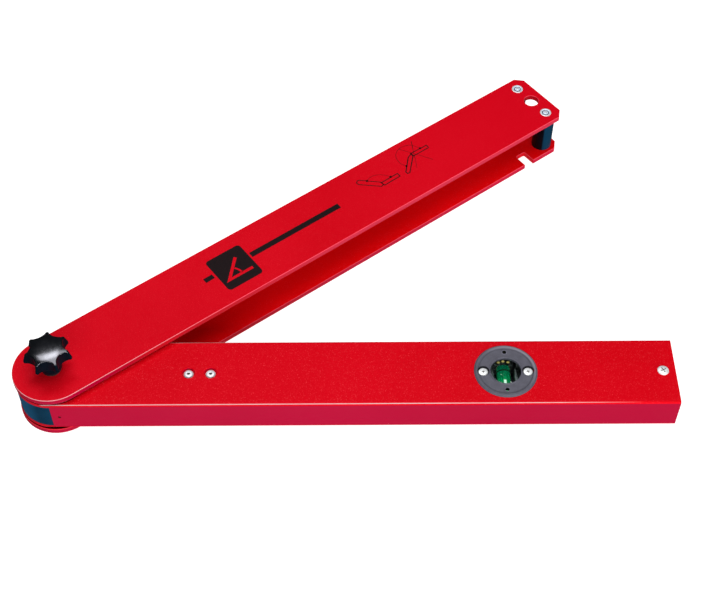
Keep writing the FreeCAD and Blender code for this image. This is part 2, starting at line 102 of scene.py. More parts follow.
# --------------------------------------------------------------------------
# Node helpers
# --------------------------------------------------------------------------
class Mat:
    def __init__(self, name, base=(0.5, 0.5, 0.5), rough=0.5, metal=0.0, spec=0.5, **kw):
        self.m = bpy.data.materials.new(name)
        self.m.use_nodes = True
        self.nt = self.m.node_tree
        self.b = next(n for n in self.nt.nodes if n.type == "BSDF_PRINCIPLED")
        self.set("Base Color", (*base, 1))
        self.set("Roughness", rough)
        self.set("Metallic", metal)
        self.set("Specular IOR Level", spec)
        for k, v in kw.items():
            self.set(k.replace("_", " "), v)
        self.tc = self.node("ShaderNodeTexCoord")
        self.co = self.tc.outputs["Object"]

    def set(self, k, v):
        self.b.inputs[k].default_value = v

    def node(self, t, **props):
        n = self.nt.nodes.new(t)
        for k, v in props.items():
            setattr(n, k, v)
        return n

    def link(self, a, b):
        self.nt.links.new(a, b)

    def noise(self, scale, detail=2.0, rough=0.5, co=None, dist=0.0):
        n = self.node("ShaderNodeTexNoise")
        n.inputs["Scale"].default_value = scale
        n.inputs["Detail"].default_value = detail
        n.inputs["Roughness"].default_value = rough
        n.inputs["Distortion"].default_value = dist
        self.link(co or self.co, n.inputs["Vector"])
        return n.outputs["Fac"]

    def scaled(self, sx, sy, sz, rz=0.0):
        n = self.node("ShaderNodeMapping")
        n.inputs["Scale"].default_value = (sx, sy, sz)
        n.inputs["Rotation"].default_value = (0, 0, rz)
        self.link(self.co, n.inputs["Vector"])
        return n.outputs["Vector"]

    def ramp(self, fac, stops):
        n = self.node("ShaderNodeValToRGB")
        els = n.color_ramp.elements
        while len(els) < len(stops):
            els.new(0.5)
        for e, (p, c) in zip(els, stops):
            e.position = p
            e.color = (*c, 1) if len(c) == 3 else c
        self.link(fac, n.inputs["Fac"])
        return n.outputs["Color"]

    def rng(self, fac, a, b, lo, hi):
        n = self.node("ShaderNodeMapRange")
        n.inputs["From Min"].default_value = a
        n.inputs["From Max"].default_value = b
        n.inputs["To Min"].default_value = lo
        n.inputs["To Max"].default_value = hi
        self.link(fac, n.inputs["Value"])
        return n.outputs["Result"]

    def math(self, op, a, b=None):
        n = self.node("ShaderNodeMath", operation=op)
        for i, x in enumerate((a, b)):
            if x is None:
                continue
            if isinstance(x, (int, float)):
                n.inputs[i].default_value = x
            else:
                self.link(x, n.inputs[i])
        return n.outputs[0]

    def mix(self, fac, a, b, mode="MIX"):
        n = self.node("ShaderNodeMix", data_type="RGBA", blend_type=mode)
        for sock, x in ((n.inputs[0], fac), (n.inputs[6], a), (n.inputs[7], b)):
            if isinstance(x, (int, float)):
                sock.default_value = x
            elif isinstance(x, tuple):
                sock.default_value = (*x, 1)
            else:
                self.link(x, sock)
        return n.outputs[2]

    def bump(self, height, strength=0.2, dist=0.0002, under=None):
        n = self.node("ShaderNodeBump")
        n.inputs["Strength"].default_value = strength
        n.inputs["Distance"].default_value = dist
        self.link(height, n.inputs["Height"])
        if under is not None:
            self.link(under, n.inputs["Normal"])
        return n.outputs["Normal"]

    def to(self, k, s):
        self.link(s, self.b.inputs[k])


def red_paint(name="red_paint", band=(0.30, 0.48, 0.95, 0.87), glow=(0.0, 0.16), pale=(0.80, 0.42, 0.41), pink=(0.60, 0.075, 0.115),
              tones=((0.445, 0.0004, 0.0042), (0.500, 0.0018, 0.0080)), flank=None, gap_shade=None, cheek=None, fade=None, reach=None):
    p = Mat(name, rough=0.36, spec=0.10)
    p.set("Specular Tint", (1.0, 0.08, 0.26, 1))
    big = p.noise(7.0, 3.0, 0.6)
    fine = p.noise(950.0, 2.0, 0.6)
    peel = p.noise(430.0, 2.0, 0.5)
    speck = p.noise(1500.0, 1.0, 0.5)
    base = p.ramp(big, [(0.30, tones[0]), (0.70, tones[1])])
    base = p.mix(p.rng(fine, 0.38, 0.75, 0.0, 0.30), base, (0.60, 0.006, 0.016))
    base = p.mix(p.rng(speck, 0.62, 0.74, 0.0, 0.42), base, (0.80, 0.060, 0.075))
    # painted shade and reflection: upright faces are painted a darker, cooler, bluer crimson
    n = p.node("ShaderNodeSeparateXYZ")
    p.link(p.tc.outputs["Normal"], n.inputs[0])
    nz = p.math("ABSOLUTE", n.outputs["Z"])
    side = p.rng(nz, 0.30, 0.06, 0.0, 1.0)
    side_shade = p.ramp(big, [(0.30, (0.283, 0.0010, 0.0190)), (0.70, (0.318, 0.0018, 0.0250))])
    far = p.node("ShaderNodeVectorMath", operation="LENGTH")
    p.link(p.co, far.inputs[0])
    # painted light: the top is painted a brighter red towards the far end
    if reach is not None:
        base = p.mix(p.rng(far.outputs["Value"], 0.25, 0.47, 0.0, 0.55), base, reach)
    if flank is not None:
        # painted light: the side colour turns lighter and pinker with the distance from the pivot
        side_shade = p.mix(p.rng(far.outputs["Value"], 0.060, 0.085, 0.0, 1.0), side_shade, (0.395, 0.0050, 0.0120))
        side_shade = p.mix(p.rng(far.outputs["Value"], 0.15, 0.26, 0.0, 1.0), side_shade, flank)
    at = p.node("ShaderNodeSeparateXYZ")
    p.link(p.co, at.inputs[0])
    if flank is not None:
        # the hanging hole's wall gets plain dark red instead of the painted side shade
        hx = p.math("SUBTRACT", at.outputs["X"], 0.4905 * math.cos(math.radians(36.76)))
        hy = p.math("SUBTRACT", at.outputs["Y"], 0.4905 * math.sin(math.radians(36.76)))
        hr = p.math("SQRT", p.math("ADD", p.math("MULTIPLY", hx, hx), p.math("MULTIPLY", hy, hy)))
        side_shade = p.mix(p.rng(hr, 0.0095, 0.0085, 0.0, 1.0), side_shade, (0.46, 0.0040, 0.0120))
        # the notch's walls get the same plain red instead of the painted side shade, the plate's outer edge does not
        ca, sa = math.cos(math.radians(36.76)), math.sin(math.radians(36.76))
        u = p.math("ADD", p.math("MULTIPLY", at.outputs["X"], ca), p.math("MULTIPLY", at.outputs["Y"], sa))
        w = p.math("SUBTRACT", p.math("MULTIPLY", at.outputs["Y"], ca), p.math("MULTIPLY", at.outputs["X"], sa))
        in_u = p.rng(p.math("ABSOLUTE", p.math("SUBTRACT", u, 0.466)), 0.0062, 0.0056, 0.0, 1.0)
        in_w = p.rng(w, -0.0304, -0.0302, 0.0, 1.0)
        side_shade = p.mix(p.math("MULTIPLY", p.math("MULTIPLY", in_u, in_w), p.rng(w, -0.0165, -0.0172, 0.0, 1.0)),
                     side_shade, (0.50, 0.0030, 0.0100))
    # painted shade: the sides are painted darker towards the far end
    if fade is not None:
        side_shade = p.mix(p.rng(at.outputs["X"], 0.10, 0.46, 0.0, 1.0), side_shade, fade)
    # painted light: the sides of the round end at the pivot are painted a brighter red
    if cheek is not None:
        side_shade = p.mix(p.rng(at.outputs["X"], 0.0002, -0.0012, 0.0, 1.0), side_shade, cheek)
    if gap_shade is not None:
        # painted shade: the ring round the pivot is always covered and is painted near black as the gap's shadow
        rr = p.math("SQRT", p.math("ADD", p.math("MULTIPLY", at.outputs["X"], at.outputs["X"]),
                                   p.math("MULTIPLY", at.outputs["Y"], at.outputs["Y"])))
        gap_shade_mask = p.math("MULTIPLY", p.rng(rr, gap_shade[1], gap_shade[0], 0.0, 1.0),
                       p.rng(at.outputs["Z"], gap_shade[2] - 0.001, gap_shade[2], 0.0, 1.0))
        base = p.mix(gap_shade_mask, base, (0.030, 0.0008, 0.002))
    base = p.mix(side, base, side_shade)
    # painted highlight: pale lines painted along the corners between the top and the sides, palest round the pivot
    a0 = p.rng(nz, band[0], band[1], 0.0, 1.0)
    a1 = p.rng(nz, band[2], band[3], 0.0, 1.0)
    highlight_noise = p.rng(p.noise(38.0, 4.0, 0.62), 0.25, 0.60, 0.74, 1.0)
    edge = p.math("MULTIPLY", p.math("MULTIPLY", a0, a1), highlight_noise)
    near = p.rng(far.outputs["Value"], glow[1], glow[0], 0.0, 1.0)
    tone = p.mix(near, pink, pale)
    base = p.mix(edge, base, tone)
    # painted shade: the small cross hole beside the pivot is painted dark inside
    xyz = p.node("ShaderNodeSeparateXYZ")
    p.link(p.co, xyz.inputs[0])
    dx = p.math("SUBTRACT", xyz.outputs["X"], 0.006)
    dz = p.math("SUBTRACT", xyz.outputs["Z"], 0.0215)
    d = p.math("SQRT", p.math("ADD", p.math("MULTIPLY", dx, dx), p.math("MULTIPLY", dz, dz)))
    base = p.mix(p.rng(d, 0.00125, 0.00095, 0.0, 1.0), base, (0.02, 0.001, 0.002))
    p.to("Base Color", base)
    scuff = p.noise(1.0, 4.0, 0.6, p.scaled(60, 160, 60, 0.35))
    r = p.rng(scuff, 0.35, 0.75, 0.32, 0.42)
    p.to("Roughness", r)
    p.to("Normal", p.bump(fine, 0.13, 0.00006, p.bump(peel, 0.20, 0.00012)))
    return p.m


def black_plastic(name="black_plastic", spec=1.0, rough=(0.13, 0.21), lo=(0.0004, 0.0007, 0.0012), hi=(0.0014, 0.0020, 0.0030)):
    p = Mat(name, rough=rough[1], spec=spec)
    p.set("Specular Tint", (0.90, 0.90, 1.0, 1))
    fine = p.noise(1600.0, 2.0, 0.55)
    big = p.noise(120.0, 3.0, 0.6)
    p.to("Base Color", p.ramp(big, [(0.3, lo), (0.75, hi)]))
    p.to("Roughness", p.rng(p.noise(260.0, 4.0, 0.7), 0.3, 0.75, rough[0], rough[1]))
    p.to("Normal", p.bump(fine, 0.12, 0.00005))
    return p.m


def black_plastic_blue_sheen(name="black_plastic_blue_sheen", shade=False):
    p = Mat(name, rough=0.40, spec=0.25)
    p.set("Specular Tint", (0.06, 0.42, 0.90, 1))
    big = p.noise(70.0, 3.0, 0.6)
    fine = p.noise(1400.0, 2.0, 0.55)
    # painted reflection: the black plastic is given a dark petrol base colour for its cold blue sheen
    base = p.ramp(big, [(0.3, (0.0008, 0.0205, 0.0450)), (0.75, (0.0018, 0.0275, 0.0590))])
    if not shade:
        # painted light: faces turned towards -x are painted a brighter teal
        nl = p.node("ShaderNodeSeparateXYZ")
        p.link(p.tc.outputs["Normal"], nl.inputs[0])
        base = p.mix(p.rng(nl.outputs["X"], -0.35, -0.95, 0.0, 1.0), base, (0.0006, 0.0800, 0.1800))
    if shade:
        # painted shade: one flank of each post is painted blacker than the other
        n = p.node("ShaderNodeSeparateXYZ")
        p.link(p.tc.outputs["Normal"], n.inputs[0])
        side = p.math("ADD", n.outputs["X"], p.math("MULTIPLY", n.outputs["Y"], -0.12))
        base = p.mix(p.rng(side, 0.02, 0.16, 1.0, 0.0), base, (0.0020, 0.0010, 0.0012))
    p.to("Base Color", base)
    p.to("Roughness", p.rng(p.noise(300.0, 4.0, 0.7), 0.3, 0.75, 0.36, 0.50))
    p.to("Normal", p.bump(fine, 0.15, 0.00006))
    return p.m


def grey_bezel(name="grey_bezel", k=1.0, painted_shading=True):
    p = Mat(name, rough=0.5, spec=0.35)
    big = p.noise(160.0, 4.0, 0.6)
    fine = p.noise(1900.0, 2.0, 0.6)
    base = p.ramp(big, [(0.3, (0.048 * k, 0.046 * k, 0.064 * k)), (0.75, (0.074 * k, 0.073 * k, 0.098 * k))])
    if painted_shading:
        at = p.node("ShaderNodeVectorMath", operation="SUBTRACT")
        p.link(p.co, at.inputs[0])
        at.inputs[1].default_value = (0.3487, 0.0, 0.0)
        xyz = p.node("ShaderNodeSeparateXYZ")
        p.link(at.outputs["Vector"], xyz.inputs[0])
        x, y = xyz.outputs["X"], xyz.outputs["Y"]
        r = p.math("SQRT", p.math("ADD", p.math("MULTIPLY", x, x), p.math("MULTIPLY", y, y)))
        # painted highlight: the outer lip is painted lighter on the side turned to +x +y
        lip = p.math("MULTIPLY", p.rng(r, 0.0213, 0.0218, 0.0, 1.0), p.rng(r, 0.0236, 0.0231, 0.0, 1.0))
        lip_highlight = p.rng(p.math("ADD", p.math("MULTIPLY", x, 0.62), p.math("MULTIPLY", y, 0.78)), -0.002, 0.021, 0.0, 1.0)
        base = p.mix(p.math("MULTIPLY", lip, lip_highlight), base, (0.150 * k, 0.145 * k, 0.175 * k))
        # painted shade: a dark ring in the groove inside the lip
        groove = p.math("MULTIPLY", p.rng(r, 0.0199, 0.0205, 0.0, 0.45), p.rng(r, 0.0212, 0.0209, 0.0, 1.0))
        base = p.mix(groove, base, (0.020 * k, 0.020 * k, 0.028 * k))
        # painted shade: the seats round the two screws are painted dark
        ax = p.math("SUBTRACT", p.math("ABSOLUTE", x), 0.0173)
        rs = p.math("SQRT", p.math("ADD", p.math("MULTIPLY", ax, ax), p.math("MULTIPLY", y, y)))
        base = p.mix(p.rng(rs, 0.00475, 0.00455, 0.0, 0.92), base, (0.006, 0.006, 0.008))
        # painted shade: the two small holes are painted near black
        ay = p.math("SUBTRACT", p.math("ABSOLUTE", y), 0.0176)
        rh = p.math("SQRT", p.math("ADD", p.math("MULTIPLY", ay, ay), p.math("MULTIPLY", x, x)))
        base = p.mix(p.rng(rh, 0.00215, 0.00185, 0.0, 0.95), base, (0.003, 0.003, 0.004))
    p.to("Base Color", base)
    p.to("Roughness", p.rng(p.noise(500.0, 3.0, 0.7), 0.3, 0.75, 0.42, 0.6))
    p.to("Normal", p.bump(fine, 0.3, 0.00008))
    return p.m


def metal(name, col, rough=0.3, metallic=1.0):
    p = Mat(name, base=col, rough=rough, metal=metallic)
    big = p.noise(400.0, 4.0, 0.65)
    lo = tuple(c * 0.84 for c in col)
    p.to("Base Color", p.ramp(big, [(0.3, lo), (0.7, col)]))
    p.to("Roughness", p.rng(p.noise(900.0, 4.0, 0.7), 0.3, 0.75, rough * 0.8, rough * 1.35))
    p.to("Normal", p.bump(p.noise(2600.0, 2.0, 0.6), 0.12, 0.00005))
    return p.m


def fibre():
    p = Mat("friction_fibre", rough=0.85, spec=0.2)
    big = p.noise(700.0, 5.0, 0.75)
    p.to("Base Color", p.ramp(big, [(0.3, (0.020, 0.012, 0.009)), (0.75, (0.055, 0.038, 0.028))]))
    p.to("Roughness", p.rng(big, 0.3, 0.7, 0.78, 0.92))
    p.to("Normal", p.bump(big, 0.4, 0.0001))
    return p.m


def clear_acrylic():
    p = Mat("clear_acrylic", base=(0.86, 1.0, 0.92), rough=0.03, spec=0.5)
    p.set("Transmission Weight", 1.0)
    p.set("IOR", 1.08)
    p.to("Roughness", p.rng(p.noise(300.0, 4.0, 0.7), 0.35, 0.8, 0.02, 0.08))
    return p.m


def green_fluid():
    p = Mat("green_fluid", base=(0.0, 0.14, 0.05), rough=0.12, spec=0.5)
    big = p.noise(240.0, 3.0, 0.6)
    xyz = p.node("ShaderNodeSeparateXYZ")
    p.link(p.co, xyz.inputs[0])
    far = p.rng(xyz.outputs["Y"], -0.002, 0.012, 0.0, 1.0)
    col = p.ramp(big, [(0.3, (0.000, 0.125, 0.040)), (0.75, (0.002, 0.190, 0.070))])
    p.to("Base Color", p.mix(far, col, (0.001, 0.080, 0.050)))
    # painted light: the liquid glows green by emission, its colour and glow darker towards +y
    glow = p.ramp(big, [(0.3, (0.000, 0.110, 0.032)), (0.75, (0.002, 0.190, 0.060))])
    glow = p.mix(far, glow, (0.001, 0.080, 0.038))
    # painted highlight: a short pale glowing streak where the bubble would catch the light
    dx = p.math("ABSOLUTE", p.math("SUBTRACT", xyz.outputs["X"], 0.3491))
    dy = p.math("ABSOLUTE", p.math("ADD", xyz.outputs["Y"], 0.0026))
    streak = p.math("MULTIPLY", p.rng(dx, 0.00125, 0.0007, 0.0, 1.0), p.rng(dy, 0.0026, 0.0016, 0.0, 1.0))
    glow = p.mix(streak, glow, (0.72, 0.86, 0.80))
    p.to("Emission Color", glow)
    p.set("Emission Strength", 1.0)
    p.to("Roughness", p.rng(big, 0.3, 0.7, 0.10, 0.2))
    return p.m


def bubble():
    p = Mat("bubble", base=(0.3, 0.8, 0.5), rough=0.10, spec=0.6)
    xyz = p.node("ShaderNodeSeparateXYZ")
    p.link(p.co, xyz.inputs[0])
    dx = p.math("ABSOLUTE", p.math("SUBTRACT", xyz.outputs["X"], 0.3489))
    dy = p.math("ABSOLUTE", p.math("ADD", xyz.outputs["Y"], 0.0020))
    # painted highlight: a pale glowing core on the bubble, and a green glow over the rest
    highlight_core = p.math("MULTIPLY", p.rng(dx, 0.0012, 0.0006, 0.0, 1.0), p.rng(dy, 0.0030, 0.0018, 0.0, 1.0))
    grain = p.rng(p.noise(500.0, 2.0, 0.5), 0.3, 0.6, 0.7, 1.0)
    p.to("Base Color", p.mix(p.math("MULTIPLY", highlight_core, grain), (0.004, 0.16, 0.07), (0.85, 0.95, 0.92)))
    p.to("Emission Color", p.mix(p.math("MULTIPLY", highlight_core, grain), (0.001, 0.140, 0.045), (0.75, 0.90, 0.84)))
    p.set("Emission Strength", 1.0)
    p.to("Roughness", p.rng(p.noise(300.0, 2.0, 0.5), 0.35, 0.8, 0.08, 0.16))
    return p.m


def vial_tip():
    p = Mat("vial_tip", base=(0.4, 0.5, 0.1), rough=0.2, spec=0.5)
    xyz = p.node("ShaderNodeSeparateXYZ")
    p.link(p.co, xyz.inputs[0])
    # painted glints: three pale glowing spots across the plug ends, a faint glow over the rest
    wave = p.math("COSINE", p.math("MULTIPLY", p.math("SUBTRACT", xyz.outputs["X"], 0.3487), 2 * math.pi / 0.0038))
    ends = p.rng(p.math("ABSOLUTE", xyz.outputs["Y"]), 0.0136, 0.0142, 0.0, 1.0)
    grain = p.rng(p.noise(700.0, 2.0, 0.5), 0.3, 0.6, 0.5, 1.0)
    painted_glint = p.math("MULTIPLY", p.math("MULTIPLY", p.rng(wave, 0.15, 0.7, 0.0, 1.0), ends), grain)
    p.to("Base Color", p.mix(painted_glint, (0.004, 0.016, 0.008), (0.55, 0.54, 0.20)))
    p.to("Emission Color", p.mix(painted_glint, (0.000, 0.003, 0.001), (0.62, 0.60, 0.22)))
    p.set("Emission Strength", 1.0)
    p.to("Roughness", p.rng(grain, 0.5, 1.0, 0.12, 0.3))
    return p.m


def cradle_black():
    p = Mat("cradle_black", rough=0.28, spec=0.55)
    p.set("Specular Tint", (0.70, 0.95, 0.95, 1))
    glint_veins = p.noise(1.0, 3.0, 0.55, p.scaled(420, 120, 420, 0.7))
    # painted glints: the light streaks of the vein pattern stand in for teal glints in the cavity
    col = p.ramp(glint_veins, [(0.50, (0.0015, 0.0016, 0.0015)), (0.66, (0.10, 0.125, 0.115))])
    # painted glints: three small bright glowing points on the seat's far lip
    xyz = p.node("ShaderNodeSeparateXYZ")
    p.link(p.co, xyz.inputs[0])
    spots = None
    for sx, sy in ((0.3447, 0.0146), (0.3483, 0.0156), (0.3523, 0.0148)):
        dx = p.math("MULTIPLY", p.math("SUBTRACT", xyz.outputs["X"], sx), 0.75)
        dy = p.math("SUBTRACT", xyz.outputs["Y"], sy)
        d = p.math("SQRT", p.math("ADD", p.math("MULTIPLY", dx, dx), p.math("MULTIPLY", dy, dy)))
        one = p.rng(d, 0.00120, 0.00045, 0.0, 1.0)
        spots = one if spots is None else p.math("MAXIMUM", spots, one)
    up = p.rng(xyz.outputs["Z"], 0.0278, 0.0282, 0.0, 1.0)
    spots = p.math("MULTIPLY", spots, up)
    p.to("Base Color", p.mix(spots, col, (0.42, 0.38, 0.12)))
    p.to("Emission Color", p.mix(spots, (0.0, 0.0, 0.0), (0.22, 0.20, 0.05)))
    p.set("Emission Strength", 1.0)
    p.to("Roughness", p.rng(glint_veins, 0.3, 0.7, 0.22, 0.42))
    p.to("Normal", p.bump(glint_veins, 0.5, 0.0003))
    return p.m


def black_mark():
    p = Mat("black_mark", rough=0.6, spec=0.08)
    big = p.noise(500.0, 4.0, 0.7)
    p.to("Base Color", p.ramp(big, [(0.3, (0.0035, 0.0015, 0.0020)), (0.8, (0.0110, 0.0035, 0.0050))]))
    p.to("Roughness", p.rng(big, 0.3, 0.7, 0.45, 0.65))
    return p.m


RED = red_paint(pale=(0.47, 0.42, 0.43), flank=(0.43, 0.0185, 0.042), reach=(0.535, 0.0012, 0.0095))
BLACK = black_plastic()
# painted reflection: a petrol-tinted copy of the black plastic for the knob's side faces
KNOB_SIDE_REFLECTION = black_plastic("black_plastic_side_reflection", 0.04, (0.34, 0.46), (0.0005, 0.0036, 0.0068), (0.0010, 0.0056, 0.0105))
BLUE_SHEEN = black_plastic_blue_sheen()
POST_BLUE_SHEEN = black_plastic_blue_sheen("post_blue_sheen", True)
GREY = grey_bezel()
ALU = metal("aluminium", (0.62, 0.62, 0.65), 0.42, 0.40)
# painted shade: a bluish, less metallic copy of the aluminium for the rivet heads' groove
ALU_GROOVE_SHADE = metal("aluminium_groove_shade", (0.56, 0.66, 0.80), 0.5, 0.20)
ZINC = metal("zinc_steel", (0.72, 0.73, 0.74), 0.42, 0.42)
# painted shade: near-black zinc for the knob washer, which lies in the knob's shadow
WASHER_SHADE = metal("zinc_painted_shade", (0.030, 0.026, 0.026), 0.55, 0.6)
# dark steel for the rivet mandrels, and painted shade in the screws' cross recesses
STEEL_AND_RECESS_SHADE = metal("dark_steel_and_recess_shade", (0.20, 0.17, 0.15), 0.5, 0.6)
BRASS = metal("brass", (0.80, 0.55, 0.22), 0.3)
FIBRE = fibre()
CLEAR = clear_acrylic()
GREEN = green_fluid()
BUBBLE = bubble()
TIP = vial_tip()
CRADLE = cradle_black()
MARK = black_mark()


def dress(mat, *names):
    for n in names:
        o = NODES[n]
        o.data.materials.clear()
        o.data.materials.append(mat)


RED_TUBE = red_paint("red_paint_tube", (0.72, 0.80, 0.93, 0.87), (0.39, 0.455), (0.42, 0.345, 0.345), (0.42, 0.0030, 0.0050),
                     gap_shade=(0.0293, 0.0299, 0.006), cheek=(0.40, 0.0015, 0.0100), fade=(0.262, 0.0012, 0.0195),
                     tones=((0.432, 0.0000, 0.0018), (0.484, 0.0002, 0.0040)))
# painted light: the lower plate takes a brighter copy of the red paint, so the shaded slot reads as lit
RED_LOW_LIT = red_paint("red_paint_low_lit", pale=(0.52, 0.030, 0.045), tones=((0.69, 0.0000, 0.0006), (0.75, 0.0002, 0.0018)),
                    gap_shade=(0.0295, 0.0303, 0.0045), flank=(0.40, 0.0060, 0.0300))
dress(RED, "outer_top_plate")
dress(RED_LOW_LIT, "outer_bottom_plate")
dress(RED_TUBE, "inner_arm_tube")
dress(BLUE_SHEEN, "hinge_block", "end_plug")
dress(POST_BLUE_SHEEN, "end_post_near", "end_post_far")
dress(BLACK, "star_knob")
dress(CRADLE, "vial_carrier")
dress(GREY, "vial_bezel_top", "vial_bezel_bottom")
dress(ALU, "post_rivets_top", "post_rivets_bottom", "block_rivets_top", "block_rivets_bottom")
# painted shade: the knob washer is painted near black
dress(WASHER_SHADE, "knob_washer")
dress(ZINC, "pivot_bolt", "end_screw", "stop_pin", "bezel_screws_top", "bezel_screws_bottom")
dress(BRASS, "pivot_bush", "knob_insert")
dress(FIBRE, "lower_friction_washer", "upper_friction_washer")
dress(CLEAR, "vial_tube")
dress(TIP, "vial_end_plugs")
dress(GREEN, "vial_liquid")
dress(BUBBLE, "vial_bubble")
dress(MARK, "vial_rings")


# --------------------------------------------------------------------------
# Finer pieces
# --------------------------------------------------------------------------
def mesh_object(name, verts, faces, mat, body, smooth_deg=None, slots=()):
    me = bpy.data.meshes.new(name)
    me.from_pydata([(x * MM, y * MM, z * MM) for x, y, z in verts], [], faces)
    me.validate()
    bm = bmesh.new()
    bm.from_mesh(me)
    bmesh.ops.remove_doubles(bm, verts=bm.verts, dist=1e-7)
    bmesh.ops.recalc_face_normals(bm, faces=bm.faces)
    bm.to_mesh(me)
    bm.free()
    me.materials.append(mat)
    for extra in slots:
        me.materials.append(extra)
    if smooth_deg is not None:
        me.polygons.foreach_set("use_smooth", [True] * len(me.polygons))
        me.set_sharp_from_angle(angle=math.radians(smooth_deg))
    o = bpy.data.objects.new(name, me)
    scene.collection.objects.link(o)
    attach(o, body)
    return o


def turn(x, y, a=OPEN):
    return x * math.cos(a) - y * math.sin(a), x * math.sin(a) + y * math.cos(a)


def lathe_parts(prof, cx, cy, n, base):
    """Closed solid of revolution from (r, z) points that start and end on the axis."""
    verts, faces, rings = [], [], []
    for r, z in prof:
        if r <= 1e-9:
            rings.append([base + len(verts)])
            verts.append((cx, cy, z))
        else:
            rings.append([base + len(verts) + k for k in range(n)])
            for k in range(n):
                t = 2 * math.pi * k / n
                verts.append((cx + r * math.cos(t), cy + r * math.sin(t), z))
    for p, q in zip(rings, rings[1:]):
        if len(p) == 1 and len(q) == 1:
            continue
        for k in range(n):
            k1 = (k + 1) % n
            if len(p) == 1:
                faces.append((p[0], q[k], q[k1]))
            elif len(q) == 1:
                faces.append((p[k], q[0], p[k1]))
            else:
                faces.append((p[k], q[k], q[k1], p[k1]))
    return verts, faces


def lathes(name, prof, spots, mat, body, n=72, deg=28.0, slots=()):
    verts, faces = [], []
    for cx, cy in spots:
        v, f = lathe_parts(prof, cx, cy, n, len(verts))
        verts += v
        faces += f
    return mesh_object(name, verts, faces, mat, body, deg, slots)


def prism_parts(poly, z0, z1, base):
    n = len(poly)
    verts = [(x, y, z0) for x, y in poly] + [(x, y, z1) for x, y in poly]
    faces = [tuple(base + k for k in reversed(range(n))), tuple(base + n + k for k in range(n))]
    for k in range(n):
        k1 = (k + 1) % n
        faces.append((base + k, base + k1, base + n + k1, base + n + k))
    return verts, faces


def ribbon_parts(pts, w, z0, z1, base, closed=False):
    """A stroke of even width along a path, as a thin closed strip."""
    n = len(pts)
    left, right = [], []
    for i, (x, y) in enumerate(pts):
        ds = []
        if closed or i > 0:
            a = pts[(i - 1) % n]
            ds.append((x - a[0], y - a[1]))
        if closed or i < n - 1:
            a = pts[(i + 1) % n]
            ds.append((a[0] - x, a[1] - y))
        ds = [(dx / math.hypot(dx, dy), dy / math.hypot(dx, dy)) for dx, dy in ds]
        if len(ds) == 2:
            nx, ny = -(ds[0][1] + ds[1][1]), ds[0][0] + ds[1][0]
            m = math.hypot(nx, ny)
            nx, ny = nx / m, ny / m
            k = 1.0 / max(0.35, nx * -ds[0][1] + ny * ds[0][0])
        else:
            nx, ny, k = -ds[0][1], ds[0][0], 1.0
        left.append((x + nx * w / 2 * k, y + ny * w / 2 * k))
        right.append((x - nx * w / 2 * k, y - ny * w / 2 * k))
    verts = []
    for (lx, ly), (rx, ry) in zip(left, right):
        verts += [(lx, ly, z1), (rx, ry, z1), (rx, ry, z0), (lx, ly, z0)]
    faces = []
    for i in range(n if closed else n - 1):
        p, q = base + 4 * i, base + 4 * ((i + 1) % n)
        for j in range(4):
            j1 = (j + 1) % 4
            faces.append((p + j, q + j, q + j1, p + j1))
    if not closed:
        faces.append((base, base + 1, base + 2, base + 3))
        e = base + 4 * (n - 1)
        faces.append((e + 3, e + 2, e + 1, e))
    return verts, faces


def arc_pts(cx, cy, r, a0, a1, n):
    return [(cx + r * math.cos(math.radians(a0 + (a1 - a0) * i / n)), cy + r * math.sin(math.radians(a0 + (a1 - a0) * i / n)))
            for i in range(n + 1)]


def rounded(x0, x1, y0, y1, r, n=8):
    return (arc_pts(x1 - r, y0 + r, r, -90, 0, n) + arc_pts(x1 - r, y1 - r, r, 0, 90, n)
            + arc_pts(x0 + r, y1 - r, r, 90, 180, n) + arc_pts(x0 + r, y0 + r, r, 180, 270, n))


def smooth_path(pts, n=8):
    out = []
    m = len(pts)
    for i in range(m - 1):
        p0, p1, p2, p3 = pts[max(i - 1, 0)], pts[i], pts[i + 1], pts[min(i + 2, m - 1)]
        for k in range(n):
            t = k / n
            out.append(tuple(0.5 * (2 * p1[j] + (p2[j] - p0[j]) * t + (2 * p0[j] - 5 * p1[j] + 4 * p2[j] - p3[j]) * t * t
                                    + (3 * p1[j] - p0[j] - 3 * p2[j] + p3[j]) * t ** 3) for j in (0, 1)))
    out.append(pts[-1])
    return out


